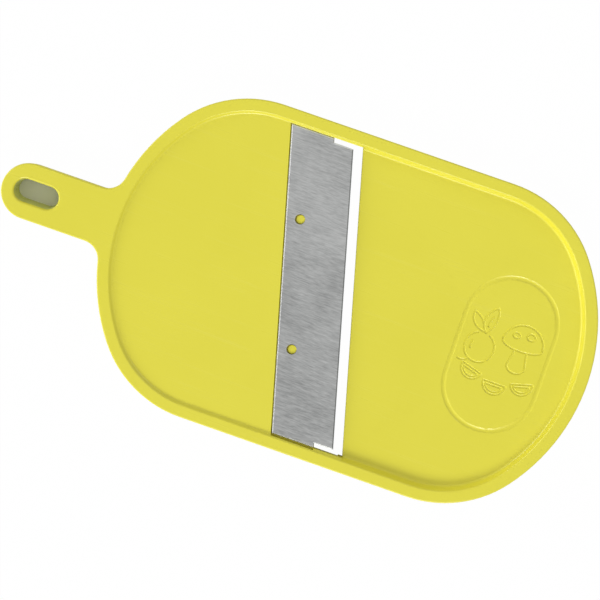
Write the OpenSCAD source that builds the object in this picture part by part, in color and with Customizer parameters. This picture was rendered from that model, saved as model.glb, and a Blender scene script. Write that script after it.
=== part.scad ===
// Hand mandoline slicer: a one-piece moulded board and a fixed oblique steel blade.
// Millimetres. X runs along the board from the handle to the far end, Y across it, Z up.
// The origin is the middle of the underside that the board rests on.

/* [Board] */
// Length of the oval board from end to end, without the handle
board_len = 217; // [205:1:235]
// Width of the oval board across its straight sides
board_w = 142; // [136:2:152]
// Height of the board from the surface it rests on to its rim
board_h = 10; // [9:0.5:13]
// Radius of the corner arcs between the sides and the wide end arcs
corner_r = 50; // [44:1:56]
// Width of the flat top of the rim, measured from the outer outline
rim_w = 4.8; // [4.2:0.1:6]
// Radius of the rounded outer top edge
edge_r = 0.7; // [0.3:0.1:1.2]
// How far the outer wall leans in from the outline by the time it reaches the underside
side_draft = 0.8; // [0.2:0.1:1]
// Thickness of the moulded walls and decks
wall = 2.4; // [1.8:0.1:2.8]

/* [Decks] */
// How far the outfeed deck, on the handle side, lies below the rim
outfeed_drop = 1.3; // [1.1:0.1:1.6]
// How far the outfeed side wall leans back from upright, in degrees
outfeed_lean = 40; // [34:1:44]
// How far the infeed deck, on the far side, lies below the rim
infeed_drop = 3.6; // [3:0.1:4.2]
// How far the infeed side wall leans back from upright, in degrees
infeed_lean = 25; // [18:1:32]
// Radius where the rim turns down into a side wall
shoulder_r = 0.8; // [0.4:0.1:1]
// Radius where a side wall runs out into its deck
foot_r = 1.3; // [0.6:0.1:1.4]

/* [Handle] */
// Distance from the end of the oval board to the tip of the handle
handle_len = 47.6; // [42:0.2:60]
// Width of the handle
handle_w = 24.4; // [20:0.2:27]

/* [Hang hole] */
// Length of the hang hole at its upper edge
hang_len = 20; // [16:0.5:24]
// Width of the hang hole at its upper edge
hang_w = 10; // [8:0.5:11]
// Distance from the tip of the handle to the nearer end of the hang hole
hang_inset = 5.5; // [4.5:0.1:8]
// Radius of the rounded upper edge of the hang hole
hang_edge_r = 0.9; // [0.4:0.1:1.2]
// How far the hole narrows on each side towards the underside
hang_draft = 0.8; // [0.2:0.1:1]
// Thickness of the moulded collar that carries the hole down through the hollow handle
collar_wall = 2; // [1.4:0.1:2.2]

/* [Blade] */
// Angle of the blade from straight across the board, in degrees
blade_angle = 15; // [8:1:18]
// Width of the blade from its rear edge to its cutting edge
blade_w = 26.8; // [24:0.1:29]
// Distance from the middle of the board to the cutting edge, towards the handle
edge_setback = 1.2; // [0:0.1:4]
// Thickness of the blade
blade_t = 1; // [0.8:0.1:1.4]
// Width of the front strip that is notched back at both ends
front_w = 8.6; // [7:0.1:10]
// How far the front strip is notched back at each end
notch = 1.8; // [1:0.1:2.6]
// Width of the ground bevel under the cutting edge
grind_w = 2.6; // [1.6:0.1:3.6]
// Width of the broken edge all round the top of the blade
break_w = 0.5; // [0.2:0.1:0.6]
// Diameter of the two locating holes
hole_d = 4.4; // [3.6:0.1:5.4]
// Distance between the locating holes along the blade
hole_pitch = 56; // [44:1:70]
// How far the pair of holes lies from the middle of the blade, towards the +Y side
hole_shift = 5.7; // [0:0.1:8]
// Distance from the rear edge to the middle of the locating holes
hole_inset = 6.1; // [5:0.1:8]
// How far the moulded pegs in those holes stop below the top of the blade
peg_recess = 0.7; // [0.4:0.1:0.8]

/* [Slot] */
// Clear gap between the cutting edge and the infeed deck, measured square to the edge
slot_gap = 3.9; // [3:0.1:5]
// Gap between the rear edge of the blade and the outfeed deck
rear_gap = 0.5; // [0.3:0.1:0.8]
// How far the gap behind the blade runs down below the seat
gap_depth = 1; // [0.4:0.1:1.4]
// Gap left at each end of the blade
end_gap = 0.3; // [0.1:0.05:0.5]
// Clearance left round the pegs
clearance = 0.1; // [0.05:0.05:0.2]
// Distance from the outer side of the board to the ends of the slot
slot_end = 6.4; // [6:0.1:7]
// Radius of the rounded infeed edge of the slot
lip_r = 0.5; // [0.3:0.1:0.8]

/* [Oblong] */
// Width of the engraved oblong frame on the infeed deck, along the board
oblong_w = 41.9; // [32:0.1:46]
// Height of the engraved oblong frame, across the board
oblong_h = 69.6; // [58:0.2:82]
// Distance from the middle of the board to the middle of the oblong
oblong_x = 69.6; // [62:0.2:72]
// Width of the engraved line
line_w = 2.2; // [1.4:0.1:2.6]
// Depth of the engraved line
line_depth = 0.35; // [0.2:0.05:0.5]

/* [Underside] */
// Thickness of the stiffening ribs
rib_t = 1.6; // [1.2:0.1:2.2]
// How far the ribs stop short of the surface that the board rests on
rib_lift = 1; // [0.5:0.1:1.5]
// Distance from the middle line to the ribs that run along the board
rib_y = 30; // [22:1:40]
// Depth of the beam that carries the blade, below the rim
beam_drop = 7.6; // [7:0.1:8.4]

/* [Hidden] */
$fn = 64;
over = 1;                       // how far cutters run past the faces they cut
far = 400;                      // larger than the part in any direction
lap = 8;                        // how far the corner arcs run on inside the pieces beside them
round_steps = 6;                // flats that make up a small edge round
plastic = [0.88, 0.85, 0.33];
steel = [0.68, 0.69, 0.68];

// Arcs meet on right triangles with whole-number sides, [along X, along Y, hypotenuse], and the unit of
// each triangle is a short decimal, so that neighbouring arcs touch exactly
end_tri = [4, 3, 5];            // from the centre of an end arc to the centre of a corner arc
neck_tri = [40, 9, 41];         // from the centre of an end arc to the centre of a neck curve

arc_unit = round((board_w / 2 - corner_r) / end_tri.y * 100) / 100;
end_r = corner_r + end_tri.z * arc_unit;
corner_cy = end_tri.y * arc_unit;
half_w = corner_r + corner_cy;
half_len = board_len / 2;
end_cx = half_len - end_r;
corner_cx = end_cx + end_tri.x * arc_unit;

neck_unit = round((end_r - handle_w / 2) / (neck_tri.z - neck_tri.y) * 1000) / 1000;
neck_r = neck_tri.z * neck_unit - end_r;         // hollow curve between the oval and the handle
neck_cx = -end_cx - neck_tri.x * neck_unit;
neck_cy = neck_tri.y * neck_unit;
handle_r = neck_cy - neck_r;

shift_x = handle_len / 2;                        // puts the origin in the middle of the whole length
tip_x = -half_len - handle_len;
tip_cx = tip_x + handle_r;

hang_r = hang_w / 2;
hang_span = hang_len - hang_w;                   // between the centres of its round ends
hang_cx = tip_x + hang_inset + hang_len / 2;
collar_r = hang_r + collar_wall;

blade_front = -edge_setback;                     // offsets square to the cutting edge
blade_rear = blade_front - blade_w;
notch_line = blade_front - front_w;
slot_far = blade_front + slot_gap;
seat_rear = blade_rear - rear_gap;
slot_half = half_w - slot_end;                   // half the slot, across the board
blade_half = slot_half - end_gap;
front_half = blade_half - notch;
blade_top = board_h - outfeed_drop;              // flush with the outfeed deck
seat_z = blade_top - blade_t;
break_h = break_w / 2;
edge_z = blade_top - break_h;                    // height of the cutting edge itself
hole_off = blade_rear + hole_inset;
peg_d = hole_d - 2 * clearance;

infeed_z = board_h - infeed_drop;
beam_z = board_h - beam_drop;
rib_h = board_h - wall / 2 - rib_lift;           // ribs run up into the decks
line_r = (pow(line_w / 2, 2) + pow(line_depth, 2)) / (2 * line_depth);

function polar(r, a) = [r * cos(a), r * sin(a)];
// Points along an arc
function arc(centre, r, from, to) =
    [for (i = [0:round_steps]) centre + polar(r, from + (to - from) * i / round_steps)];
function reversed(list) = [for (i = [len(list) - 1:-1:0]) list[i]];

// ---------- cross-sections: x is the distance in from the outline, and both ends run inwards ----------

function outside_section() =
    concat([[side_draft, 0]], arc([edge_r, board_h - edge_r], edge_r, 180, 90));

// Hollow behind the outer wall, which it leaves at an even thickness
function wall_section() = [[wall + side_draft, -over], [wall, board_h - wall]];

// Where the face of a leaning side wall meets the plane of the rim
function wall_top(lean) = rim_w + shoulder_r * tan((90 - lean) / 2);

// Space above a deck, with its rounded shoulder and foot
function tray_section(drop, lean) =
    let (foot_x = wall_top(lean) + drop * tan(lean) + foot_r * tan((90 - lean) / 2))
    concat(
        arc([foot_x, board_h - drop + foot_r], foot_r, -90, -180 + lean),
        arc([rim_w, board_h - shoulder_r], shoulder_r, lean, 90),
        [[rim_w, board_h + over]]
    );

// Hollow below a deck: it leaves a wall of even thickness outside it and above it
function hollow_section(drop, lean) =
    let (foot_x = wall_top(lean) + (drop + wall) * tan(lean) - wall / cos(lean))
    concat(wall_section(), [[foot_x, board_h - drop - wall]]);

// ---------- sweeps ----------

// A cross-section carried straight along X, on both sides of the middle line
module straight(section, from, to, r = half_w) {
    side = [for (p = section) [r - p.x, p.y]];
    translate([from, 0, 0]) rotate([90, 0, 90]) linear_extrude(to - from)
        polygon(concat(side, reversed([for (p = side) [-p.x, p.y]])));
}

// A cross-section turned all round the origin
module turned(section, r) {
    last = section[len(section) - 1];
    rotate_extrude() polygon(concat([for (p = section) [r - p.x, p.y]], [[0, last.y], [0, section[0].y]]));
}

// Upright wedge about the origin, scaled up past every arc
module wedge(outline) {
    translate([0, 0, -2 * over]) linear_extrude(board_h + 4 * over) polygon(outline * half_w);
}

// A cross-section carried round the far end of the oval: one end arc between two corner arcs, which
// run on into their neighbours
module round_end(section) {
    translate([end_cx, 0, 0]) intersection() {
        turned(section, end_r);
        wedge([[0, 0], [end_tri.x, -end_tri.y], [end_tri.z, 0], [end_tri.x, end_tri.y]]);
    }
    for (half = [0, 1]) mirror([0, half, 0]) translate([corner_cx, corner_cy, 0]) intersection() {
        turned(section, corner_r);
        translate([-lap, -2 * lap, 0])
            wedge([[0, 0], [end_tri.x, end_tri.y], [end_tri.x, end_tri.z], [0, end_tri.z]]);
    }
}

// Everything between two offsets from the cutting line
module between(from, to) {
    rotate([0, 0, blade_angle]) translate([from, -far / 2, -over])
        cube([to - from, far, board_h + 3 * over]);
}

// One deck's part of the oval, from the end of the board to an offset from the cutting line
module deck_part(section, side, to) {
    intersection() {
        union() {
            straight(section, -corner_cx, corner_cx);
            mirror([side < 0 ? 1 : 0, 0, 0]) round_end(section);
        }
        between(side < 0 ? -far : to, side < 0 ? to : far);
    }
}

// ---------- board ----------

// Web that fills the corner between handle and board, hollowed by the neck curve
module neck() {
    inside = [neck_cx, neck_cy] / 5 - [end_cx, 0] * 4 / 5;   // on the line between centres, within the oval
    difference() {
        linear_extrude(board_h) polygon([[neck_cx, neck_cy], [neck_cx, 0], inside]);
        translate([neck_cx, neck_cy, 0]) rotate_extrude() polygon(concat(
            [[0, -over], [neck_r + side_draft, -over], [neck_r + side_draft, 0]],
            arc([neck_r + edge_r, board_h - edge_r], edge_r, 180, 90),
            [[neck_r + edge_r, board_h + over], [0, board_h + over]]
        ));
    }
}

// Outside of the moulding: oval board, handle with a round tip, and both neck curves
module shell() {
    section = outside_section();
    straight(section, -corner_cx, corner_cx);
    for (side = [0, 1]) mirror([side, 0, 0]) round_end(section);
    straight(section, tip_cx, -corner_cx, handle_r);
    translate([tip_cx, 0, 0]) turned(section, handle_r);
    for (side = [0, 1]) mirror([0, side, 0]) neck();
}

// Hang hole with a rounded upper edge, drafted towards the underside
module hang_hole() {
    section = concat(
        [[hang_draft, -over], [hang_draft, 0]],
        arc([-hang_edge_r, board_h - hang_edge_r], hang_edge_r, 0, 90),
        [[-hang_edge_r, board_h + over]]
    );
    translate([hang_cx, 0, 0]) {
        straight(section, -hang_span / 2, hang_span / 2, hang_r);
        for (end = [-1, 1]) translate([end * hang_span / 2, 0, 0]) turned(section, hang_r);
    }
}

// Ribs and beams that are left standing inside the underside hollows
module underside_ribs() {
    for (side = [-1, 1])
        translate([-far / 2, side * rib_y - rib_t / 2, rib_lift]) cube([far, rib_t, rib_h]);
    rotate([0, 0, blade_angle]) {
        // Rear rib of the blade seat
        translate([seat_rear - rib_t, -far / 2, rib_lift]) cube([rib_t, far, rib_h]);
        // Front beam under the blade, its front face sloping back to let the slices fall
        translate([0, far / 2, 0]) rotate([90, 0, 0]) linear_extrude(far) polygon([
            [notch_line + over, seat_z], [notch_line, seat_z - wall / 2],
            [notch_line - wall, beam_z], [notch_line - 2 * wall, beam_z], [notch_line - 2 * wall, seat_z]
        ]);
        // Rib along the infeed edge of the slot
        translate([slot_far, -far / 2, beam_z]) cube([wall, far, board_h]);
    }
    // Block that backs that rib's front face until the slot is cut
    intersection() {
        translate([0, 0, beam_z + over]) between(slot_far - 2 * over, slot_far + wall / 2);
        across(slot_half + end_gap);
    }
}

// Hollow of the underside, deck by deck
module underside_hollow() {
    difference() {
        union() {
            deck_part(hollow_section(outfeed_drop, outfeed_lean), -1, seat_rear - rib_t / 2);
            intersection() {
                straight(hollow_section(outfeed_drop + blade_t, outfeed_lean), -corner_cx, corner_cx);
                between(seat_rear - rib_t, slot_far + over);
            }
            deck_part(hollow_section(infeed_drop, infeed_lean), 1, slot_far - over);
        }
        underside_ribs();
    }
}

// Hollow of the handle, round the collar of the hang hole and its centre web
module handle_hollow() {
    difference() {
        union() {
            translate([tip_cx, 0, 0]) turned(wall_section(), handle_r);
            straight(wall_section(), tip_cx, -half_len + over, handle_r);
        }
        translate([0, 0, -2 * over]) linear_extrude(board_h + 2 * over) {
            for (end = [-1, 1]) translate([hang_cx + end * hang_span / 2, 0]) circle(collar_r);
            translate([hang_cx - hang_span / 2, -collar_r]) square([hang_span, 2 * collar_r]);
        }
        translate([hang_cx, -rib_t / 2, rib_lift]) cube([far, rib_t, board_h]);
        translate([-end_cx, 0, -2 * over]) cylinder(r = end_r, h = board_h + 4 * over);
    }
}

// Space that the food slides through, above the two decks and the blade
module trays() {
    deck_part(tray_section(outfeed_drop, outfeed_lean), -1, slot_far);
    deck_part(tray_section(infeed_drop, infeed_lean), 1, slot_far);
}

// Part of the board's width that the slot and the blade seat take
module across(half) {
    translate([-corner_cx, -half, -over]) cube([2 * corner_cx, 2 * half, board_h + 2 * over]);
}

// Recess that the blade lies in, deeper along the blade's rear edge
module blade_seat() {
    intersection() {
        union() {
            translate([0, 0, seat_z + over]) between(seat_rear, notch_line + over);
            translate([0, 0, seat_z - gap_depth + over]) between(seat_rear, blade_rear);
        }
        across(slot_half);
    }
}

// Slot that the slices fall through, with a rounded edge on its infeed side
module slot() {
    intersection() {
        union() {
            between(notch_line, slot_far);
            rotate([0, 0, blade_angle]) translate([0, far / 2, 0]) rotate([90, 0, 0])
                linear_extrude(far) polygon(concat(
                    [[slot_far - over, infeed_z - lip_r]],
                    arc([slot_far + lip_r, infeed_z - lip_r], lip_r, 180, 90),
                    [[slot_far + lip_r, board_h + over], [slot_far - over, board_h + over]]
                ));
        }
        across(slot_half);
    }
}

// Engraved line round the oblong: half-round groove along two sides and two round ends
module oblong_line() {
    run_r = (oblong_w - line_w) / 2;
    run_half = (oblong_h - oblong_w) / 2;
    translate([oblong_x, 0, infeed_z - line_depth + line_r]) {
        for (end = [0, 1]) mirror([0, end, 0]) translate([0, run_half, 0])
            rotate_extrude(angle = 180) translate([run_r, 0]) circle(line_r);
        for (side = [-1, 1]) translate([side * run_r, run_half, 0])
            rotate([90, 0, 0]) cylinder(r = line_r, h = 2 * run_half);
    }
}

// Pegs moulded on the seat that locate the blade
module pegs() {
    for (along = [-1, 1])
        rotate([0, 0, blade_angle]) translate([hole_off, hole_shift + along * hole_pitch / 2, seat_z - wall / 2])
            cylinder(d = peg_d, h = wall / 2 + blade_t - peg_recess);
}

module board() {
    color(plastic) translate([shift_x, 0, 0]) {
        difference() {
            shell();
            trays();
            blade_seat();
            slot();
            oblong_line();
            underside_hollow();
            handle_hollow();
            hang_hole();
        }
        pegs();
    }
}

// ---------- blade ----------

// Section square to the cutting edge: ground underneath, with its top edges broken
blade_section = [
    [blade_rear, seat_z], [blade_front - grind_w, seat_z],
    [blade_front, edge_z], [blade_front - break_w, blade_top],
    [blade_rear + break_w, blade_top], [blade_rear, edge_z]
];

// Cuts both ends of the blade off at a distance from the middle line and breaks their top edges
module end_cuts(half) {
    for (side = [0, 1]) mirror([0, side, 0]) translate([0, half, blade_top]) rotate([90, 0, 90])
        linear_extrude(far, center = true) polygon([
            [-break_w, over], [-break_w, 0], [0, -break_h], [0, -blade_t - over],
            [far / 2, -blade_t - over], [far / 2, over]
        ]);
}

module blade() {
    color(steel) translate([shift_x, 0, 0]) difference() {
        rotate([0, 0, blade_angle]) translate([0, far / 2, 0]) rotate([90, 0, 0])
            linear_extrude(far) polygon(blade_section);
        end_cuts(blade_half);
        intersection() {
            end_cuts(front_half);
            between(notch_line, far);
        }
        for (along = [-1, 1]) rotate([0, 0, blade_angle])
            translate([hole_off, hole_shift + along * hole_pitch / 2, seat_z - over])
                cylinder(d = hole_d, h = blade_t + 2 * over);
    }
}

board();
blade();
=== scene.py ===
"""Looks of the hand mandoline slicer: moulded board, engraved badge, brushed blade, light and camera."""

import logging
import math
from collections.abc import Callable, Sequence
from dataclasses import dataclass, field
from enum import Enum

import bmesh
import bpy
from mathutils import Matrix, Vector


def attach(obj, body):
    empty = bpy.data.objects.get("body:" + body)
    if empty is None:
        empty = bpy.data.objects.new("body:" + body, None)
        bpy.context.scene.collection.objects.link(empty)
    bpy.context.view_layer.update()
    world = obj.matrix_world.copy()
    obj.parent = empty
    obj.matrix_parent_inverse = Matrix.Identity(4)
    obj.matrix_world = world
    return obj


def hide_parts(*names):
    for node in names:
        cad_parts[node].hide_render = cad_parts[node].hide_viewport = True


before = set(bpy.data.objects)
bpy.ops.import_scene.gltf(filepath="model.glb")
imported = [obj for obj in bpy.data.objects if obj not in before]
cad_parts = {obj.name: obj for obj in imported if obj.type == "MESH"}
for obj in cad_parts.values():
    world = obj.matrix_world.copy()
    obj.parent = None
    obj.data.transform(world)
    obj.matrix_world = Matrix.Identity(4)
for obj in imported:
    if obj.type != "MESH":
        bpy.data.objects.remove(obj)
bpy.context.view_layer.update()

LOG = logging.getLogger("mandoline")
MM = 0.001
BODY = "root"
BLADE_TURN = 15.0  # degrees between the blade and straight across the board
OVAL_X = 0.0238  # middle of the oval, from which the distances square to the blade are taken
HANG_HOLE = (-0.1168, 0.0, 0.0)  # middle of the hang hole, at the height of the floor

WELD_DISTANCE = 1e-7  # corners closer than this are joined
FLAT_ANGLE = 0.2  # faces that differ by fewer degrees are joined
MIX_LOW, MIX_HIGH, MIX_RESULT = 6, 7, 2  # colour sockets of a Mix node
RANDOM_LOW, RANDOM_HIGH, RANDOM_RESULT = 2, 3, 1  # number sockets of a Random Value node

Point = tuple[float, float]
Range = tuple[float, float]
Place = tuple[float, float, float]
Colour = tuple[float, float, float, float]
Stroke = list[Point]


class Node(Enum):
    """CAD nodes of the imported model."""

    BOARD = "board"
    BLADE = "blade"


class Slot(Enum):
    """Names for the board's plastic and the blade's steel."""

    PLASTIC = "board_plastic"
    STEEL = "blade_steel"


# ---------- node helpers ----------


def link(tree: bpy.types.NodeTree, source: bpy.types.NodeSocket, target: bpy.types.NodeSocket) -> None:
    """Joins two sockets of a tree.

    Args:
        tree: Tree that holds both.
        source: Output socket.
        target: Input socket.
    """
    tree.links.new(source, target)


def add_node(tree: bpy.types.NodeTree, kind: str, **settings: object) -> bpy.types.Node:
    """Adds a node and sets its plain properties.

    Args:
        tree: Tree that the node goes into.
        kind: Blender's name for the kind of node.
        **settings: Properties of the node, by name.

    Returns:
        The new node.
    """
    node = tree.nodes.new(kind)
    for name, value in settings.items():
        setattr(node, name, value)
    return node


def math_node(
    tree: bpy.types.NodeTree,
    operation: str,
    first: bpy.types.NodeSocket | float,
    second: bpy.types.NodeSocket | float = 0.0,
    clamp: bool = False,
) -> bpy.types.NodeSocket:
    """Adds a Math node fed by sockets or plain numbers.

    Args:
        tree: Tree that the node goes into.
        operation: Blender's name for the operation.
        first: First operand.
        second: Second operand, unused by operations on one value.
        clamp: Keeps the result between 0 and 1.

    Returns:
        The result socket.
    """
    node = add_node(tree, "ShaderNodeMath", operation=operation, use_clamp=clamp)
    for socket, value in zip(node.inputs, (first, second)):
        if isinstance(value, bpy.types.NodeSocket):
            link(tree, value, socket)
        else:
            socket.default_value = value
    return node.outputs[0]


def mix_colours(
    tree: bpy.types.NodeTree,
    factor: bpy.types.NodeSocket,
    low: Colour | bpy.types.NodeSocket,
    high: Colour | bpy.types.NodeSocket,
) -> bpy.types.NodeSocket:
    """Adds a colour Mix node.

    Args:
        tree: Tree that the node goes into.
        factor: Share of the second colour.
        low: Colour at factor 0.
        high: Colour at factor 1.

    Returns:
        The mixed colour.
    """
    node = add_node(tree, "ShaderNodeMix", data_type="RGBA")
    link(tree, factor, node.inputs["Factor"])
    for socket, value in ((node.inputs[MIX_LOW], low), (node.inputs[MIX_HIGH], high)):
        if isinstance(value, bpy.types.NodeSocket):
            link(tree, value, socket)
        else:
            socket.default_value = value
    return node.outputs[MIX_RESULT]


def map_range(
    tree: bpy.types.NodeTree,
    value: bpy.types.NodeSocket,
    source: Range,
    target: Range,
    smooth: bool = False,
) -> bpy.types.NodeSocket:
    """Adds a clamped Map Range node.

    Args:
        tree: Tree that the node goes into.
        value: Value to map.
        source: Ends of the range that is read.
        target: Values given at those ends.
        smooth: Eases in and out.

    Returns:
        The mapped value.
    """
    node = add_node(
        tree, "ShaderNodeMapRange", clamp=True, interpolation_type="SMOOTHSTEP" if smooth else "LINEAR"
    )
    link(tree, value, node.inputs["Value"])
    for name, number in zip(("From Min", "From Max", "To Min", "To Max"), (*source, *target)):
        node.inputs[name].default_value = number
    return node.outputs["Result"]


def new_group(
    name: str, inputs: Sequence[tuple[str, str, object]], outputs: Sequence[tuple[str, str]]
) -> tuple[bpy.types.NodeTree, bpy.types.Node, bpy.types.Node]:
    """Makes an empty shader node group with named sockets.

    Args:
        name: Name of the group.
        inputs: Name, socket type and default of each input.
        outputs: Name and socket type of each output.

    Returns:
        The tree, its input node and its output node.
    """
    tree = bpy.data.node_groups.new(name, "ShaderNodeTree")
    for label, kind, default in inputs:
        socket = tree.interface.new_socket(label, in_out="INPUT", socket_type=kind)
        socket.default_value = default
    for label, kind in outputs:
        tree.interface.new_socket(label, in_out="OUTPUT", socket_type=kind)
    return tree, add_node(tree, "NodeGroupInput"), add_node(tree, "NodeGroupOutput")


# ---------- shared surface effects ----------


@dataclass
class SurfaceEffects:
    """Shader node groups that more than one finish uses."""

    grain_detail: float = 2.0
    grain_smoothness: float = 0.7
    grain_fineness: float = 2.3
    line_detail: float = 4.0
    line_roughness: float = 0.65
    line_threshold: float = 0.62
    line_sharpness: float = 9.0
    cloud_detail: float = 3.0
    cloud_distortion: float = 0.6
    cloud_range: Range = (0.3, 0.7)
    grain: bpy.types.NodeTree = field(init=False)
    lines: bpy.types.NodeTree = field(init=False)
    cloud: bpy.types.NodeTree = field(init=False)

    def __post_init__(self) -> None:
        """Builds each group once."""
        self.grain = self._make_grain()
        self.lines = self._make_lines()
        self.cloud = self._make_cloud()

    def _make_grain(self) -> bpy.types.NodeTree:
        """Fine even grain of a moulded surface.

        Returns:
            Group that gives a height for relief and a value for tone.
        """
        tree, gin, gout = new_group(
            "fine_grain",
            (("Vector", "NodeSocketVector", (0, 0, 0)), ("Scale", "NodeSocketFloat", 900.0)),
            (("Height", "NodeSocketFloat"), ("Value", "NodeSocketFloat")),
        )
        coarse = add_node(tree, "ShaderNodeTexNoise")
        coarse.inputs["Detail"].default_value = self.grain_detail
        fine = add_node(tree, "ShaderNodeTexVoronoi", feature="SMOOTH_F1")
        fine.inputs["Smoothness"].default_value = self.grain_smoothness
        for node, factor in ((coarse, 1.0), (fine, self.grain_fineness)):
            link(tree, gin.outputs["Vector"], node.inputs["Vector"])
            link(tree, math_node(tree, "MULTIPLY", gin.outputs["Scale"], factor), node.inputs["Scale"])
        both = math_node(tree, "ADD", coarse.outputs["Fac"], fine.outputs["Distance"])
        link(tree, math_node(tree, "MULTIPLY", both, 0.5), gout.inputs["Height"])
        link(tree, coarse.outputs["Fac"], gout.inputs["Value"])
        return tree

    def _make_lines(self) -> bpy.types.NodeTree:
        """Fine straight lines along one direction, such as brushing or sliding scratches.

        Returns:
            Group that gives a mask of separate lines and the even value under it.
        """
        tree, gin, gout = new_group(
            "fine_lines",
            (
                ("Vector", "NodeSocketVector", (0, 0, 0)),
                ("Turn", "NodeSocketFloat", 0.0),
                ("Scale", "NodeSocketFloat", 100.0),
                ("Stretch", "NodeSocketFloat", 40.0),
                ("Cover", "NodeSocketFloat", 0.5),
            ),
            (("Mask", "NodeSocketFloat"), ("Value", "NodeSocketFloat")),
        )
        turn = add_node(tree, "ShaderNodeVectorRotate", rotation_type="Z_AXIS")
        link(tree, gin.outputs["Vector"], turn.inputs["Vector"])
        link(tree, gin.outputs["Turn"], turn.inputs["Angle"])
        spread = add_node(tree, "ShaderNodeCombineXYZ")
        link(tree, gin.outputs["Stretch"], spread.inputs["X"])
        spread.inputs["Y"].default_value = 1.0
        spread.inputs["Z"].default_value = 1.0
        squash = add_node(tree, "ShaderNodeVectorMath", operation="DIVIDE")
        link(tree, turn.outputs["Vector"], squash.inputs[0])
        link(tree, spread.outputs["Vector"], squash.inputs[1])
        noise = add_node(tree, "ShaderNodeTexNoise")
        noise.inputs["Detail"].default_value = self.line_detail
        noise.inputs["Roughness"].default_value = self.line_roughness
        link(tree, squash.outputs["Vector"], noise.inputs["Vector"])
        link(tree, gin.outputs["Scale"], noise.inputs["Scale"])
        bare = math_node(tree, "SUBTRACT", 1.0, math_node(tree, "MULTIPLY", gin.outputs["Cover"], 0.5))
        edge = math_node(tree, "MULTIPLY", bare, self.line_threshold)
        over_edge = math_node(tree, "SUBTRACT", noise.outputs["Fac"], edge)
        mask = math_node(tree, "MULTIPLY", over_edge, self.line_sharpness, clamp=True)
        link(tree, mask, gout.inputs["Mask"])
        link(tree, noise.outputs["Fac"], gout.inputs["Value"])
        return tree

    def _make_cloud(self) -> bpy.types.NodeTree:
        """Broad soft unevenness, such as the flow of the plastic or a handled look on steel.

        Returns:
            Group that gives a value from 0 to 1.
        """
        tree, gin, gout = new_group(
            "soft_cloud",
            (("Vector", "NodeSocketVector", (0, 0, 0)), ("Scale", "NodeSocketFloat", 20.0)),
            (("Value", "NodeSocketFloat"),),
        )
        noise = add_node(tree, "ShaderNodeTexNoise")
        noise.inputs["Detail"].default_value = self.cloud_detail
        noise.inputs["Distortion"].default_value = self.cloud_distortion
        link(tree, gin.outputs["Vector"], noise.inputs["Vector"])
        link(tree, gin.outputs["Scale"], noise.inputs["Scale"])
        link(tree, map_range(tree, noise.outputs["Fac"], self.cloud_range, (0.0, 1.0)), gout.inputs["Value"])
        return tree


def place_group(
    tree: bpy.types.NodeTree, group: bpy.types.NodeTree, vector: bpy.types.NodeSocket, **values: float
) -> bpy.types.Node:
    """Places a shared effect in a material.

    Args:
        tree: Node tree of the material.
        group: The effect.
        vector: Coordinates that the effect reads.
        **values: Values of its other inputs, by name.

    Returns:
        The group node.
    """
    node = add_node(tree, "ShaderNodeGroup", node_tree=group)
    link(tree, vector, node.inputs["Vector"])
    for name, value in values.items():
        node.inputs[name].default_value = value
    return node


# ---------- finishes ----------


def new_material(
    name: str,
) -> tuple[bpy.types.Material, bpy.types.NodeTree, bpy.types.Node, bpy.types.NodeSocket]:
    """Makes a material with one Principled shader and Object coordinates.

    Args:
        name: Name of the material.

    Returns:
        The material, its tree, the shader and the coordinates.
    """
    material = bpy.data.materials.new(name)
    material.use_nodes = True
    tree = material.node_tree
    shader = tree.nodes["Principled BSDF"]
    where = add_node(tree, "ShaderNodeTexCoord")
    return material, tree, shader, where.outputs["Object"]


def add_relief(
    tree: bpy.types.NodeTree,
    shader: bpy.types.Node,
    height: bpy.types.NodeSocket,
    strength: float,
    depth: float,
) -> None:
    """Gives a shader fine relief.

    Args:
        tree: Node tree of the material.
        shader: Shader that gets the relief.
        height: Height of the relief, from 0 to 1.
        strength: Share of the relief that shows.
        depth: What a height of 1 stands for, in metres.
    """
    bump = add_node(tree, "ShaderNodeBump")
    bump.inputs["Strength"].default_value = strength
    bump.inputs["Distance"].default_value = depth
    link(tree, height, bump.inputs["Height"])
    link(tree, bump.outputs["Normal"], shader.inputs["Normal"])


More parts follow.
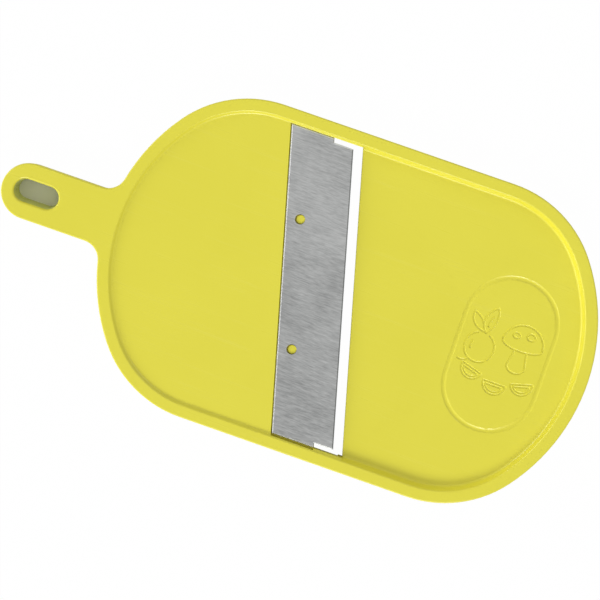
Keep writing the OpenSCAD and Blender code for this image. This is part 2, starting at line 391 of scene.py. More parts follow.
@dataclass(frozen=True)
class MouldedPlastic:
    """Satin moulded plastic with fine grain, soft flow marks, faint scratches from use and painted shade on
    the hang hole's wall.
    """

    colour: Colour = (0.768, 0.708, 0.056, 1.0)
    deep_colour: Colour = (0.726, 0.664, 0.046, 1.0)
    worn_colour: Colour = (0.81, 0.76, 0.13, 1.0)
    # Painted shade: darker, greener colour for the hang hole's wall, standing in for the shade inside the
    # hole.
    painted_shade_colour: Colour = (0.56, 0.58, 0.12, 1.0)
    refraction: float = 1.49
    roughness: float = 0.28
    flow_roughness: float = 0.06
    scratch_polish: float = 0.05
    flow_scale: float = 26.0
    flow_share: float = 0.45
    grain_scale: float = 1500.0
    grain_share: float = 0.25
    grain_strength: float = 0.12
    grain_depth: float = 0.00012
    scratch_turn: float = 0.03
    scratch_scale: float = 900.0
    scratch_length: float = 45.0
    scratch_cover: float = 0.18
    scratch_share: float = 0.16
    # Where the painted shade lies: half the straight length of the hang hole, then the distances from its
    # middle line and the heights over which the shade fades out.
    hole_straight: float = 0.005
    hole_radius: Range = (0.0052, 0.0058)
    hole_height: Range = (0.0086, 0.0094)

    def make(self, effects: SurfaceEffects) -> bpy.types.Material:
        """Builds the material.

        Args:
            effects: Shared node groups.

        Returns:
            The material.
        """
        material, tree, shader, where = new_material("satin_plastic")
        cloud = place_group(tree, effects.cloud, where, Scale=self.flow_scale)
        grain = place_group(tree, effects.grain, where, Scale=self.grain_scale)
        scratches = place_group(
            tree,
            effects.lines,
            where,
            Turn=self.scratch_turn,
            Scale=self.scratch_scale,
            Stretch=self.scratch_length,
            Cover=self.scratch_cover,
        )
        flow = math_node(tree, "MULTIPLY", cloud.outputs["Value"], self.flow_share)
        speckle = math_node(tree, "MULTIPLY", grain.outputs["Value"], self.grain_share)
        tone = mix_colours(tree, math_node(tree, "ADD", flow, speckle), self.colour, self.deep_colour)
        worn = math_node(tree, "MULTIPLY", scratches.outputs["Mask"], self.scratch_share)
        tone = mix_colours(tree, worn, tone, self.worn_colour)
        # Painted shade: the hang hole's wall gets the darker colour in place of the shade that falls inside
        # the hole.
        tone = mix_colours(tree, self.painted_hole_shade(tree, where), tone, self.painted_shade_colour)
        link(tree, tone, shader.inputs["Base Color"])
        rough = math_node(tree, "MULTIPLY", cloud.outputs["Value"], self.flow_roughness)
        rough = math_node(tree, "ADD", rough, self.roughness)
        polish = math_node(tree, "MULTIPLY", scratches.outputs["Mask"], self.scratch_polish)
        link(tree, math_node(tree, "SUBTRACT", rough, polish), shader.inputs["Roughness"])
        add_relief(tree, shader, grain.outputs["Height"], self.grain_strength, self.grain_depth)
        shader.inputs["IOR"].default_value = self.refraction
        return material

    def painted_hole_shade(self, tree: bpy.types.NodeTree, where: bpy.types.NodeSocket) -> bpy.types.NodeSocket:
        """Marks the wall of the hang hole, where a darker colour paints the shade inside the hole.

        Args:
            tree: Node tree of the material.
            where: Object coordinates.

        Returns:
            1 on the hole's wall and 0 elsewhere.
        """
        centred = add_node(tree, "ShaderNodeVectorMath", operation="SUBTRACT")
        link(tree, where, centred.inputs[0])
        centred.inputs[1].default_value = HANG_HOLE
        parts = add_node(tree, "ShaderNodeSeparateXYZ")
        link(tree, centred.outputs["Vector"], parts.inputs["Vector"])
        along = math_node(tree, "ABSOLUTE", parts.outputs["X"])
        past = math_node(tree, "SUBTRACT", along, self.hole_straight)
        flat = add_node(tree, "ShaderNodeCombineXYZ")
        link(tree, math_node(tree, "MAXIMUM", past, 0.0), flat.inputs["X"])
        link(tree, parts.outputs["Y"], flat.inputs["Y"])
        apart = add_node(tree, "ShaderNodeVectorMath", operation="LENGTH")
        link(tree, flat.outputs["Vector"], apart.inputs[0])
        near = map_range(tree, apart.outputs["Value"], self.hole_radius, (1.0, 0.0), smooth=True)
        deep = map_range(tree, parts.outputs["Z"], self.hole_height, (1.0, 0.0), smooth=True)
        return math_node(tree, "MULTIPLY", near, deep)


@dataclass(frozen=True)
class BrushedSteel:
    """Stainless steel sheet, brushed along one direction, with a painted reflection that makes it lighter
    towards +Y.
    """

    name: str = "brushed_steel"
    light: Colour = (0.450, 0.456, 0.451, 1.0)
    dark: Colour = (0.272, 0.277, 0.274, 1.0)
    roughness: float = 0.36
    patch_roughness: float = 0.07
    brush_roughness: float = 0.05
    brush_turn: float = 0.02
    brush_length: float = 9.0
    fine_scale: float = 2400.0
    fine_cover: float = 0.8
    fine_share: float = 0.6
    broad_scale: float = 800.0
    broad_share: float = 0.4
    brush_strength: float = 0.2
    brush_depth: float = 0.00006
    tone_range: Range = (0.36, 0.64)
    # Painted reflection: across the board from -55 mm to 60 mm, the steel's tone is lowered at the -Y end and
    # lifted at the +Y end.
    painted_reflection_span: Range = (-0.055, 0.06)
    painted_reflection_lift: Range = (-0.16, 0.24)
    patch_scale: float = 38.0
    patch_lift: Range = (-0.2, 0.2)

    def make(self, effects: SurfaceEffects) -> bpy.types.Material:
        """Builds the material.

        Args:
            effects: Shared node groups.

        Returns:
            The material.
        """
        material, tree, shader, where = new_material(self.name)
        grain = {"Turn": self.brush_turn, "Stretch": self.brush_length}
        fine = place_group(tree, effects.lines, where, Scale=self.fine_scale, Cover=self.fine_cover, **grain)
        broad = place_group(tree, effects.lines, where, Scale=self.broad_scale, **grain)
        cloud = place_group(tree, effects.cloud, where, Scale=self.patch_scale)
        brushing = math_node(
            tree,
            "ADD",
            math_node(tree, "MULTIPLY", fine.outputs["Value"], self.fine_share),
            math_node(tree, "MULTIPLY", broad.outputs["Value"], self.broad_share),
        )
        parts = add_node(tree, "ShaderNodeSeparateXYZ")
        link(tree, where, parts.inputs["Vector"])
        # Painted reflection: tone lifted towards +Y and lowered towards -Y.
        painted_reflection = map_range(tree, parts.outputs["Y"], self.painted_reflection_span, self.painted_reflection_lift, smooth=True)
        patches = map_range(tree, cloud.outputs["Value"], (0.0, 1.0), self.patch_lift)
        tone = map_range(tree, brushing, self.tone_range, (0.0, 1.0))
        tone = math_node(tree, "ADD", tone, math_node(tree, "ADD", painted_reflection, patches), clamp=True)
        link(tree, mix_colours(tree, tone, self.dark, self.light), shader.inputs["Base Color"])
        rough = math_node(tree, "MULTIPLY", cloud.outputs["Value"], self.patch_roughness)
        rough = math_node(tree, "ADD", rough, self.roughness)
        scored = math_node(tree, "MULTIPLY", fine.outputs["Mask"], self.brush_roughness)
        link(tree, math_node(tree, "ADD", rough, scored), shader.inputs["Roughness"])
        add_relief(tree, shader, brushing, self.brush_strength, self.brush_depth)
        shader.inputs["Metallic"].default_value = 1.0
        return material


# Painted highlight: a lighter copy of the steel for the edge faces at the blade's +Y end, standing in for the
# light they catch.
PAINTED_HIGHLIGHT_EDGE = BrushedSteel(
    name="painted_highlight_edge", light=(0.64, 0.65, 0.64, 1.0), dark=(0.50, 0.51, 0.50, 1.0), roughness=0.3
)
# Painted shade: a darker copy of the steel for the edge faces towards the cutting edge, standing in for the
# shade they lie in.
PAINTED_SHADE_EDGE = BrushedSteel(
    name="painted_shade_edge", light=(0.24, 0.245, 0.242, 1.0), dark=(0.15, 0.153, 0.151, 1.0), roughness=0.4
)


# ---------- mesh helpers ----------


def link_object(name: str, data: bpy.types.ID) -> bpy.types.Object:
    """Adds an object with this data to the scene.

    Args:
        name: Name of the object.
        data: Mesh, curve, lamp or camera.

    Returns:
        The object.
    """
    thing = bpy.data.objects.new(name, data)
    bpy.context.scene.collection.objects.link(thing)
    return thing


def merged_copy(node: Node, name: str) -> bpy.types.Object:
    """Copies a CAD node's mesh with its loose triangles joined.

    Args:
        node: CAD node.
        name: Name of the new piece.

    Returns:
        The new piece, at the origin.
    """
    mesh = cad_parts[node.value].data.copy()
    mesh.name = name
    if mesh.has_custom_normals:
        mesh.attributes.remove(mesh.attributes["custom_normal"])
    work = bmesh.new()
    work.from_mesh(mesh)
    bmesh.ops.remove_doubles(work, verts=work.verts, dist=WELD_DISTANCE)
    flat = math.radians(FLAT_ANGLE)
    bmesh.ops.dissolve_limit(
        work, angle_limit=flat, verts=work.verts, edges=work.edges, delimit={"NORMAL"}
    )
    bmesh.ops.triangulate(work, faces=work.faces)
    work.to_mesh(mesh)
    work.free()
    return link_object(name, mesh)


def baked(thing: bpy.types.Object, name: str) -> bpy.types.Mesh:
    """Gives the evaluated object's mesh as plain data.

    Args:
        thing: Object with modifiers.
        name: Name of the new mesh.

    Returns:
        The mesh.
    """
    graph = bpy.context.evaluated_depsgraph_get()
    mesh = bpy.data.meshes.new_from_object(thing.evaluated_get(graph), depsgraph=graph)
    mesh.name = name
    return mesh


def smooth_by_angle(mesh: bpy.types.Mesh, degrees: float) -> None:
    """Shades a mesh smooth, apart from edges sharper than an angle.

    Args:
        mesh: Mesh to shade.
        degrees: Angle above which an edge stays sharp.
    """
    mesh.shade_smooth()
    mesh.set_sharp_from_angle(angle=math.radians(degrees))


# ---------- engraved badge ----------


def ellipse_arc(centre: Point, radii: Point, start: float, end: float, steps: int = 40) -> Stroke:
    """Points along part of an ellipse.

    Args:
        centre: Middle of the ellipse, in millimetres.
        radii: Half its width and half its height.
        start: First angle in degrees, anticlockwise from the right.
        end: Last angle in degrees.
        steps: Number of segments.

    Returns:
        The points in order.
    """
    angles = [math.radians(start + (end - start) * i / steps) for i in range(steps + 1)]
    return [(centre[0] + radii[0] * math.cos(a), centre[1] + radii[1] * math.sin(a)) for a in angles]


def bezier(a: Point, b: Point, c: Point, d: Point, steps: int = 24) -> Stroke:
    """Points along a cubic curve.

    Args:
        a: First point.
        b: Point that the start is pulled towards.
        c: Point that the end is pulled towards.
        d: Last point.
        steps: Number of segments.

    Returns:
        The points in order.
    """
    points = []
    for i in range(steps + 1):
        t = i / steps
        s = 1 - t
        weights = (s**3, 3 * s * s * t, 3 * s * t * t, t**3)
        points.append(tuple(sum(w * p[k] for w, p in zip(weights, (a, b, c, d))) for k in (0, 1)))
    return points


def joined(*parts: tuple[Point, Point, Point, Point]) -> Stroke:
    """Points along several cubic curves that follow on from each other.

    Args:
        *parts: The four points of each curve.

    Returns:
        The points in order.
    """
    return [point for part in parts for point in bezier(*part)]


@dataclass
class Badge:
    """Line drawing of a radish, a mushroom and half-moon slices, engraved in the infeed deck.

    The drawing and the row of slices are in millimetres from the badge's middle, and the rest in metres.
    """

    centre: Vector = field(default_factory=lambda: Vector((0.0934, 0.0, 0.0064)))
    stroke_radius: float = 0.66 * MM
    stroke_sides: int = 16
    stroke_step: float = 0.35 * MM
    closed_gap: float = 1e-6
    depth: float = 0.34 * MM
    slice_count: int = 3
    slice_radius: float = 5.0
    rind_width: float = 1.5
    flesh_drop: float = 1.2
    flesh_squash: float = 0.9
    size_change: float = 0.12
    seed: int = 5
    row_centre: Point = (1.6, 8.6)
    row_radius: float = 21.0
    row_span: float = 64.0

    def radish(self) -> list[Stroke]:
        """Draws the radish.

        Returns:
            Strokes of the body, root, shine, leaves and vein, in millimetres.
        """
        body = ellipse_arc((-9.6, 0.2), (6.4, 6.6), 112, 428)
        root = bezier((-12.8, -5.5), (-13.6, -7.2), (-15.0, -7.6), (-17.2, -7.0), 12)
        shine = ellipse_arc((-9.6, 0.2), (3.9, 4.1), 150, 205, 14)
        middle_leaf = joined(
            ((-8.8, 6.8), (-12.8, 10.8), (-10.4, 16.2), (-6.9, 18.6)),
            ((-6.9, 18.6), (-5.0, 14.8), (-5.4, 10.6), (-8.8, 6.8)),
        )
        left_leaf = joined(
            ((-9.6, 7.1), (-14.0, 7.6), (-16.8, 10.6), (-16.2, 14.4)),
            ((-16.2, 14.4), (-13.4, 13.6), (-11.8, 12.2), (-10.9, 10.2)),
        )
        vein = bezier((-8.7, 9.4), (-8.6, 11.2), (-8.2, 13.0), (-7.6, 14.6), 12)
        return [body, root, shine, middle_leaf, left_leaf, vein]

    def mushroom(self) -> list[Stroke]:
        """Draws the mushroom.

        Returns:
            Strokes of the cap, its underside, the stem and the spots, in millimetres.
        """
        cap = ellipse_arc((7.6, 6.8), (8.8, 8.6), 0, 180)
        underside = ellipse_arc((7.6, 6.8), (8.8, 2.8), 180, 360)
        stem = joined(
            ((4.8, 4.2), (5.0, 1.4), (4.0, -1.0), (3.8, -3.2)),
            ((3.8, -3.2), (5.2, -6.6), (10.4, -6.6), (11.8, -3.2)),
            ((11.8, -3.2), (11.6, -1.0), (10.4, 1.4), (10.6, 4.2)),
        )
        spots = [
            ellipse_arc((x, y), (r, r * 0.8), 0, 360, 20) for x, y, r in ((4.0, 10.2, 1.5), (10.2, 11.2, 1.8))
        ]
        return [cap, underside, stem, *spots]

    def half_moon(self) -> list[Stroke]:
        """Draws one slice about its own middle.

        Returns:
            Strokes of the rind and the flesh, in millimetres.
        """
        outer = self.slice_radius
        rind = ellipse_arc((0, 0), (outer, outer), 180, 360) + [(-outer, 0.0)]
        inner = outer - self.rind_width
        radii = (inner, inner - self.flesh_squash)
        flesh = ellipse_arc((0, -self.flesh_drop), radii, 180, 360) + [(-inner, -self.flesh_drop)]
        return [rind, flesh]

    def curve(self, name: str, strokes: Sequence[Stroke], centre: Vector) -> bpy.types.Object:
        """Makes a curve object of several strokes.

        Args:
            name: Name of the object.
            strokes: Points of each stroke, in millimetres.
            centre: Where the strokes' origin lies, in metres.

        Returns:
            The object.
        """
        data = bpy.data.curves.new(name, "CURVE")
        data.dimensions = "3D"
        for stroke in strokes:
            closed = math.dist(stroke[0], stroke[-1]) < self.closed_gap
            points = stroke[:-1] if closed else stroke
            spline = data.splines.new("POLY")
            spline.points.add(len(points) - 1)
            for spot, (u, v) in zip(spline.points, points):
                spot.co = (centre.x + u * MM, centre.y + v * MM, centre.z, 1.0)
            spline.use_cyclic_u = closed
        return link_object(name, data)

    def stroke_tree(self, repeat: bool) -> bpy.types.NodeTree:
        """Geometry Nodes tree that turns strokes into a cutting tool.

        Args:
            repeat: Sets copies of the strokes along an arc first.

        Returns:
            The tree.
        """
        tree = bpy.data.node_groups.new("slice_row" if repeat else "stroke_tool", "GeometryNodeTree")
        sockets = [
            ("Geometry", "NodeSocketGeometry"),
            ("Tool Radius", "NodeSocketFloat"),
            ("Step", "NodeSocketFloat"),
            ("Material", "NodeSocketMaterial"),
        ]
        if repeat:
            sockets += [
                ("Count", "NodeSocketInt"),
                ("Row Radius", "NodeSocketFloat"),
                ("Row Span", "NodeSocketFloat"),
                ("Row Centre", "NodeSocketVector"),
                ("Size Change", "NodeSocketFloat"),
                ("Seed", "NodeSocketInt"),
            ]
        for label, kind in sockets:
            tree.interface.new_socket(label, in_out="INPUT", socket_type=kind)
        tree.interface.new_socket("Geometry", in_out="OUTPUT", socket_type="NodeSocketGeometry")
        gin = add_node(tree, "NodeGroupInput")
        gout = add_node(tree, "NodeGroupOutput")
        strokes = gin.outputs["Geometry"]
        if repeat:
            strokes = self._repeat_along_arc(tree, gin, strokes)
        resample = add_node(tree, "GeometryNodeResampleCurve", mode="LENGTH")
        link(tree, strokes, resample.inputs["Curve"])
        link(tree, gin.outputs["Step"], resample.inputs["Length"])
        profile = add_node(tree, "GeometryNodeCurvePrimitiveCircle")
        profile.inputs["Resolution"].default_value = self.stroke_sides
        link(tree, gin.outputs["Tool Radius"], profile.inputs["Radius"])
        tube = add_node(tree, "GeometryNodeCurveToMesh")
        tube.inputs["Fill Caps"].default_value = True
        link(tree, resample.outputs["Curve"], tube.inputs["Curve"])
        link(tree, profile.outputs["Curve"], tube.inputs["Profile Curve"])
        realize = add_node(tree, "GeometryNodeRealizeInstances")
        link(tree, tube.outputs["Mesh"], realize.inputs["Geometry"])
        paint = add_node(tree, "GeometryNodeSetMaterial")
        link(tree, realize.outputs["Geometry"], paint.inputs["Geometry"])
        link(tree, gin.outputs["Material"], paint.inputs["Material"])
        link(tree, paint.outputs["Geometry"], gout.inputs["Geometry"])
        return tree

    @staticmethod
    def _repeat_along_arc(
        tree: bpy.types.NodeTree, gin: bpy.types.Node, strokes: bpy.types.NodeSocket
    ) -> bpy.types.NodeSocket:
        """Sets copies of the strokes on points along an arc.

        Args:
            tree: Tree to add to.
            gin: Its input node.
            strokes: Strokes of one copy, about the origin.

        Returns:
            The copies as real curves.
        """
        arc = add_node(tree, "GeometryNodeCurveArc", mode="RADIUS")
        half_span = math_node(tree, "MULTIPLY", gin.outputs["Row Span"], 0.5)
        link(tree, gin.outputs["Count"], arc.inputs["Resolution"])
        link(tree, gin.outputs["Row Radius"], arc.inputs["Radius"])
        link(tree, math_node(tree, "SUBTRACT", -math.pi / 2, half_span), arc.inputs["Start Angle"])
        link(tree, gin.outputs["Row Span"], arc.inputs["Sweep Angle"])
        shift = add_node(tree, "GeometryNodeTransform")
        link(tree, arc.outputs["Curve"], shift.inputs["Geometry"])
        link(tree, gin.outputs["Row Centre"], shift.inputs["Translation"])
        points = add_node(tree, "GeometryNodeCurveToPoints", mode="EVALUATED")
        link(tree, shift.outputs["Geometry"], points.inputs["Curve"])
        size = add_node(tree, "FunctionNodeRandomValue", data_type="FLOAT")
        low = math_node(tree, "SUBTRACT", 1.0, gin.outputs["Size Change"])
        link(tree, low, size.inputs[RANDOM_LOW])
        size.inputs[RANDOM_HIGH].default_value = 1.0
        link(tree, gin.outputs["Seed"], size.inputs["Seed"])
        place = add_node(tree, "GeometryNodeInstanceOnPoints")
        link(tree, points.outputs["Points"], place.inputs["Points"])
        link(tree, strokes, place.inputs["Instance"])
        along = add_node(tree, "FunctionNodeAlignRotationToVector", axis="X", pivot_axis="Z")
        link(tree, points.outputs["Tangent"], along.inputs["Vector"])
        link(tree, along.outputs["Rotation"], place.inputs["Rotation"])
        link(tree, size.outputs[RANDOM_RESULT], place.inputs["Scale"])
        real = add_node(tree, "GeometryNodeRealizeInstances")
        link(tree, place.outputs["Instances"], real.inputs["Geometry"])
        return real.outputs["Geometry"]

    def tool(self, name: str, strokes: bpy.types.Object, values: dict[str, object]) -> bpy.types.Object:
        """Runs the tree on a curve and keeps the result as a plain mesh.

        Args:
            name: Name of the tool.
            strokes: Curve object, which is removed.
            values: Values of the tree's inputs, by name.

        Returns:
            The cutting tool.
        """
        tree = self.stroke_tree("Count" in values)
        modifier = strokes.modifiers.new(tree.name, "NODES")
        modifier.node_group = tree
        for item in tree.interface.items_tree:
            if item.in_out == "INPUT" and item.name in values:
                modifier[item.identifier] = values[item.name]
        mesh = baked(strokes, name)
        strokes.modifiers.remove(modifier)
        bpy.data.objects.remove(strokes)
        return link_object(name, mesh)

    def tools(self, finish: bpy.types.Material) -> list[bpy.types.Object]:
        """Builds every cutting tool of the badge.

        Args:
            finish: Material of the cut surfaces.

        Returns:
            The tools, ready for a boolean cut.
        """
        lift = self.stroke_radius - self.depth
        plane = Vector((self.centre.x, self.centre.y, self.centre.z + lift))
        common = {"Tool Radius": self.stroke_radius, "Step": self.stroke_step, "Material": finish}
        lines = self.curve("badge_lines", self.radish() + self.mushroom(), plane)
        drawn = self.tool("badge_strokes", lines, common)
        row = {
            "Count": self.slice_count,
            "Row Radius": self.row_radius * MM,
            "Row Span": math.radians(self.row_span),
            "Row Centre": (
                plane.x + self.row_centre[0] * MM,
                plane.y + self.row_centre[1] * MM,
                plane.z,
            ),
            "Size Change": self.size_change,
            "Seed": self.seed,
        }
        one = self.curve("badge_slice", self.half_moon(), Vector((0.0, 0.0, 0.0)))
        return [drawn, self.tool("badge_slices", one, {**common, **row})]


# ---------- sub-assemblies ----------


@dataclass
class EndGroove:
    """Narrow groove moulded beside the blade's -Y end, in metres, whose ends slant with the blade."""

    along: Range = (-0.0284, -0.0098)
    across: Range = (-0.0655, -0.0646)
    heights: Range = (0.0070, 0.0094)

    def tool(self, finish: bpy.types.Material) -> bpy.types.Object:
        """Builds the cutting tool, a slanted bar.

        Args:
            finish: Material of the cut surfaces.

        Returns:
            The tool, ready for a boolean cut.
        """
        angle = math.radians(BLADE_TURN)
        (rear, front), (low, high) = self.along, self.across
        verts = []
        for z in self.heights:
            for offset, y in ((rear, low), (front, low), (front, high), (rear, high)):
                verts.append((offset / math.cos(angle) - y * math.tan(angle) + OVAL_X, y, z))
        faces = [(3, 2, 1, 0), (4, 5, 6, 7), (0, 1, 5, 4), (1, 2, 6, 5), (2, 3, 7, 6), (3, 0, 4, 7)]
        mesh = bpy.data.meshes.new("end_groove")
        mesh.from_pydata(verts, [], faces)
        mesh.materials.append(finish)
        return link_object("end_groove", mesh)


@dataclass
class PegRelief:
    """Crescent gap on one side of each locating peg, whose round lies off the middle of its hole."""

    places: tuple[Point, ...] = ((-0.00608, 0.02688), (0.00842, -0.02721))
    outer: float = 2.16 * MM
    inner: float = 1.82 * MM
    shift: Point = (0.30 * MM, 0.04 * MM)
    heights: Range = (0.0068, 0.0084)
    sides: int = 32

    def tools(self, finish: bpy.types.Material) -> list[bpy.types.Object]:
        """Builds one ring-shaped cutting tool for each peg.

        Args:
            finish: Material of the cut surfaces.

        Returns:
            The tools, ready for a boolean cut.
        """
        made = []
        for number, (x, y) in enumerate(self.places, start=1):
            verts = []
            for radius, (dx, dy) in ((self.outer, (0.0, 0.0)), (self.inner, self.shift)):
                for z in self.heights:
                    verts += self.ring(x + dx, y + dy, z, radius)
            mesh = bpy.data.meshes.new(f"peg_relief_{number}")
            mesh.from_pydata(verts, [], self.faces())
            mesh.materials.append(finish)
            made.append(link_object(mesh.name, mesh))
        return made

    def ring(self, x: float, y: float, z: float, radius: float) -> list[Place]:
        """Points round a circle.

        Args:
            x: Middle along the board.
            y: Middle across the board.
            z: Height.
            radius: Radius of the circle.

        Returns:
            The points in order.
        """
        angles = [math.tau * i / self.sides for i in range(self.sides)]
        return [(x + radius * math.cos(a), y + radius * math.sin(a), z) for a in angles]

    def faces(self) -> list[tuple[int, int, int, int]]:
        """Faces between the four rings: outer low and high, inner low and high.

        Returns:
            Corner numbers of each face.
        """
        made = []
        for low, high in ((0, 1), (1, 3), (3, 2), (2, 0)):
            first, second = low * self.sides, high * self.sides
            for i in range(self.sides):
                j = (i + 1) % self.sides
                made.append((first + i, first + j, second + j, second + i))
        return made


@dataclass
class MouldedBoard:
    """One-piece moulded board with handle, engraved badge and hollow underside."""

    finish: bpy.types.Material
    badge: Badge
    groove: EndGroove
    relief: PegRelief
    sharp_angle: float = 32.0
    shading_weight: int = 50

    def build(self) -> bpy.types.Object:
        """Builds and dresses the board.

        Returns:
            The finished piece.
        """
        board = merged_copy(Node.BOARD, "moulded_board")
        cutters = [
            *self.badge.tools(self.finish),
            self.groove.tool(self.finish),
            *self.relief.tools(self.finish),
        ]
        for tool in cutters:
            cut = board.modifiers.new(tool.name, "BOOLEAN")
            cut.operation = "DIFFERENCE"
            cut.solver = "EXACT"
            cut.use_self = True
            cut.object = tool
            mesh = baked(board, "moulded_board")
            board.modifiers.remove(cut)
            old = board.data
            board.data = mesh
            bpy.data.meshes.remove(old)
            bpy.data.objects.remove(tool)
        board.data.materials.clear()
        board.data.materials.append(self.finish)
        smooth_by_angle(board.data, self.sharp_angle)
        even = board.modifiers.new("even_shading", "WEIGHTED_NORMAL")
        even.mode = "FACE_AREA"
        even.weight = self.shading_weight
        even.keep_sharp = True
        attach(board, BODY)
        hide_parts(Node.BOARD.value)
        return board


@dataclass
class SlicingBlade:
    """Fixed oblique blade: brushed, with a painted highlight on the edge faces at the +Y end and painted
    shade on the edge faces towards the cutting edge.

    A face is a flat when its normal is more upright than flat, and an end when the normal's share across
    the board is over endways times its share along it.
    """

    finish: bpy.types.Material
    painted_highlight_finish: bpy.types.Material
    painted_shade_finish: bpy.types.Material
    flat: float = 0.995
    endways: float = 2.0

    def build(self) -> bpy.types.Object:
        """Builds and dresses the blade.

        Returns:
            The finished piece.
        """
        blade = merged_copy(Node.BLADE, "brushed_blade")
        blade.data.materials.clear()
        for finish in (self.finish, self.painted_highlight_finish, self.painted_shade_finish):
            blade.data.materials.append(finish)
        # Painted highlight and painted shade: edge faces get a lighter or a darker copy of the steel by the
        # way they face.
        for face in blade.data.polygons:
            face.use_smooth = False
            face.material_index = self.pick(face.normal)
        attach(blade, BODY)
        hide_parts(Node.BLADE.value)
        return blade

    def pick(self, normal: Vector) -> int:
        """Chooses the finish of a face by the way it faces.

        Args:
            normal: Normal of the face.

        Returns:
            Index of the finish: 0 brushed, 1 painted highlight or 2 painted shade.
        """
        if abs(normal.z) > self.flat:
            return 0
        if abs(normal.y) > self.endways * abs(normal.x):
            return 1 if normal.y > 0 else 0
        angle = math.radians(BLADE_TURN)
        forward = normal.x * math.cos(angle) + normal.y * math.sin(angle)
        return 2 if forward > 0 else 0


# ---------- studio ----------


@dataclass(frozen=True)
class SoftLamp:
    """One soft light from far away; angles are in degrees."""

    name: str
    azimuth: float
    elevation: float
    power: float
    spread: float = 24.0

    def build(self) -> bpy.types.Object:
        """Builds the lamp.

        Returns:
            The lamp.
        """
        data = bpy.data.lights.new(self.name, "SUN")
        data.energy = self.power
        data.angle = math.radians(self.spread)
        lamp = link_object(self.name, data)
        azimuth, elevation = math.radians(self.azimuth), math.radians(self.elevation)
        flat = math.cos(elevation)
        towards = Vector((math.cos(azimuth) * flat, math.sin(azimuth) * flat, math.sin(elevation)))
        lamp.rotation_mode = "QUATERNION"
        lamp.rotation_quaternion = towards.to_track_quat("Z", "Y")
        return lamp


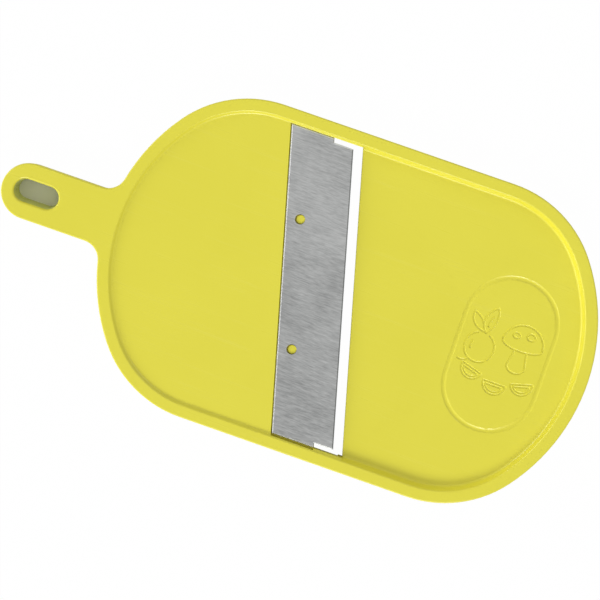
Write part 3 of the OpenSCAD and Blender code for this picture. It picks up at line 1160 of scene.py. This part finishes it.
@dataclass
class Studio:
    """Plain pale floor, soft light and the camera."""

    lamps: tuple[SoftLamp, ...] = (
        SoftLamp("key_light", 280.0, 35.0, 1.55),
        SoftLamp("side_light", 225.0, 20.0, 0.48),
        SoftLamp("low_light", 200.0, 20.0, 0.62),
        SoftLamp("end_light", 165.0, 8.0, 0.90),
        SoftLamp("back_light", 60.0, 30.0, 0.35),
    )
    sky: float = 0.48
    sky_in_gloss: float = 0.7
    floor_size: float = 6.0
    floor_colour: Colour = (0.86, 0.86, 0.86, 1.0)
    floor_roughness: float = 0.9
    floor_white: float = 0.988
    shade_radius: Range = (0.0105, 0.0115)
    camera_place: Place = (0.0639, 0.1618, 1.2783)
    camera_axes: tuple[Place, Place, Place] = (
        (0.9433, 0.3206, -0.0861),
        (-0.3287, 0.9382, -0.1086),
        (0.0459, 0.1308, 0.9903),
    )
    lens: float = 180.0
    sensor: float = 36.0
    clip: Range = (0.05, 20.0)

    def build(self) -> list[bpy.types.Object]:
        """Builds the floor, the lights and the camera.

        Returns:
            The new objects.
        """
        scene = bpy.context.scene
        scene.view_settings.view_transform = "Standard"
        self.light_world()
        floor = self.make_floor()
        lights = [lamp.build() for lamp in self.lamps]
        camera = self.make_camera()
        scene.camera = camera
        return [floor, *lights, camera]

    def light_world(self) -> None:
        """Adds an even sky, brighter as background and in reflections than as light."""
        world = bpy.data.worlds.new("studio_sky")
        world.use_nodes = True
        bpy.context.scene.world = world
        tree = world.node_tree
        sky = tree.nodes["Background"]
        path = add_node(tree, "ShaderNodeLightPath")
        gloss = math_node(tree, "MULTIPLY", path.outputs["Is Glossy Ray"], self.sky_in_gloss)
        seen = math_node(tree, "ADD", path.outputs["Is Camera Ray"], gloss)
        seen = math_node(tree, "ADD", seen, path.outputs["Is Transmission Ray"], clamp=True)
        link(tree, map_range(tree, seen, (0.0, 1.0), (self.sky, 1.0)), sky.inputs["Strength"])
        sky.inputs["Color"].default_value = (1.0, 1.0, 1.0, 1.0)

    def make_floor(self) -> bpy.types.Object:
        """Square floor round the origin.

        Returns:
            The floor.
        """
        half = self.floor_size / 2
        mesh = bpy.data.meshes.new("floor")
        corners = [(-half, -half, 0), (half, -half, 0), (half, half, 0), (-half, half, 0)]
        mesh.from_pydata(corners, [], [(0, 1, 2, 3)])
        floor = link_object("floor", mesh)
        mesh.materials.append(self.floor_material())
        return floor

    def floor_material(self) -> bpy.types.Material:
        """Pale floor that the camera sees as white, with its own shade kept under the hang hole.

        Returns:
            The material.
        """
        material, tree, shader, where = new_material("pale_floor")
        shader.inputs["Roughness"].default_value = self.floor_roughness
        shader.inputs["Specular IOR Level"].default_value = 0.0
        centred = add_node(tree, "ShaderNodeVectorMath", operation="SUBTRACT")
        link(tree, where, centred.inputs[0])
        centred.inputs[1].default_value = HANG_HOLE
        apart = add_node(tree, "ShaderNodeVectorMath", operation="LENGTH")
        link(tree, centred.outputs["Vector"], apart.inputs[0])
        near = map_range(tree, apart.outputs["Value"], self.shade_radius, (1.0, 0.0), smooth=True)
        shader.inputs["Base Color"].default_value = self.floor_colour
        white = add_node(tree, "ShaderNodeEmission")
        white.inputs["Strength"].default_value = 1.0
        path = add_node(tree, "ShaderNodeLightPath")
        open_floor = map_range(tree, near, (0.0, 1.0), (self.floor_white, 0.0))
        share = math_node(tree, "MULTIPLY", path.outputs["Is Camera Ray"], open_floor)
        blend = add_node(tree, "ShaderNodeMixShader")
        link(tree, share, blend.inputs["Fac"])
        link(tree, shader.outputs["BSDF"], blend.inputs[1])
        link(tree, white.outputs["Emission"], blend.inputs[2])
        link(tree, blend.outputs["Shader"], tree.nodes["Material Output"].inputs["Surface"])
        return material

    def make_camera(self) -> bpy.types.Object:
        """Camera above the board, turned so that the handle points up and to the left.

        Returns:
            The camera.
        """
        data = bpy.data.cameras.new("camera")
        data.lens = self.lens
        data.sensor_width = self.sensor
        data.clip_start, data.clip_end = self.clip
        camera = link_object("camera", data)
        camera.rotation_mode = "QUATERNION"
        axes = Matrix([Vector(axis).normalized() for axis in self.camera_axes]).transposed()
        camera.rotation_quaternion = axes.to_quaternion()
        camera.location = self.camera_place
        return camera


def report(thing: bpy.types.Object) -> None:
    """Logs a finished piece.

    Args:
        thing: The piece.
    """
    faces = len(thing.data.polygons) if thing.type == "MESH" else 0
    LOG.info("built %s with %d faces", thing.name, faces)


def main() -> None:
    """Builds the sub-assemblies in order."""
    logging.basicConfig(level=logging.INFO, format="%(name)s: %(message)s")
    effects = SurfaceEffects()
    plastic = MouldedPlastic().make(effects)
    steel = BrushedSteel().make(effects)
    bright = PAINTED_HIGHLIGHT_EDGE.make(effects)
    dark = PAINTED_SHADE_EDGE.make(effects)
    builders: list[Callable[[], bpy.types.Object]] = [
        MouldedBoard(plastic, Badge(), EndGroove(), PegRelief()).build,
        SlicingBlade(steel, bright, dark).build,
    ]
    for build in builders:
        report(build())
    for thing in Studio().build():
        report(thing)
    bpy.context.view_layer.update()


if __name__ == "__main__":
    main()
